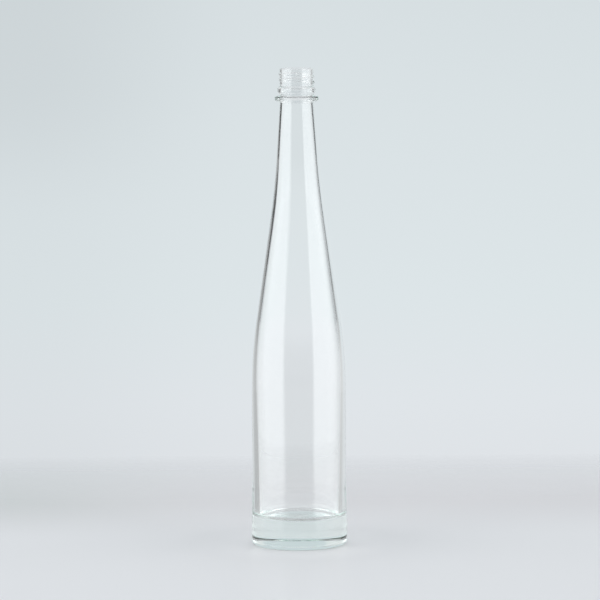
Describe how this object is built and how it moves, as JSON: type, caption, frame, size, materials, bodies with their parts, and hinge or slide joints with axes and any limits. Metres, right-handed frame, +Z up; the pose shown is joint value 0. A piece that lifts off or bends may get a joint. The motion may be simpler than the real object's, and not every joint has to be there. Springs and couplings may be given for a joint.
{
  "type": "glass bottle",
  "caption": "Slender clear glass bottle with a long tapering neck, a threaded finish with locking bead and collar, and a thick solid base; empty and open.",
  "frame": {"origin": "centre of the circle that the bottle stands on, at the level of its bearing ring", "axes": "+Z up along the bottle's axis, from the base to the mouth; X and Y lie in the plane that it stands on, and the front view looks along +Y"},
  "size_m": [0.0752, 0.0752, 0.376],
  "materials": {
    "clear_glass": "gloss"
  },
  "bodies": {
    "root": {"bottle": "clear_glass"}
  },
  "joints": []
}
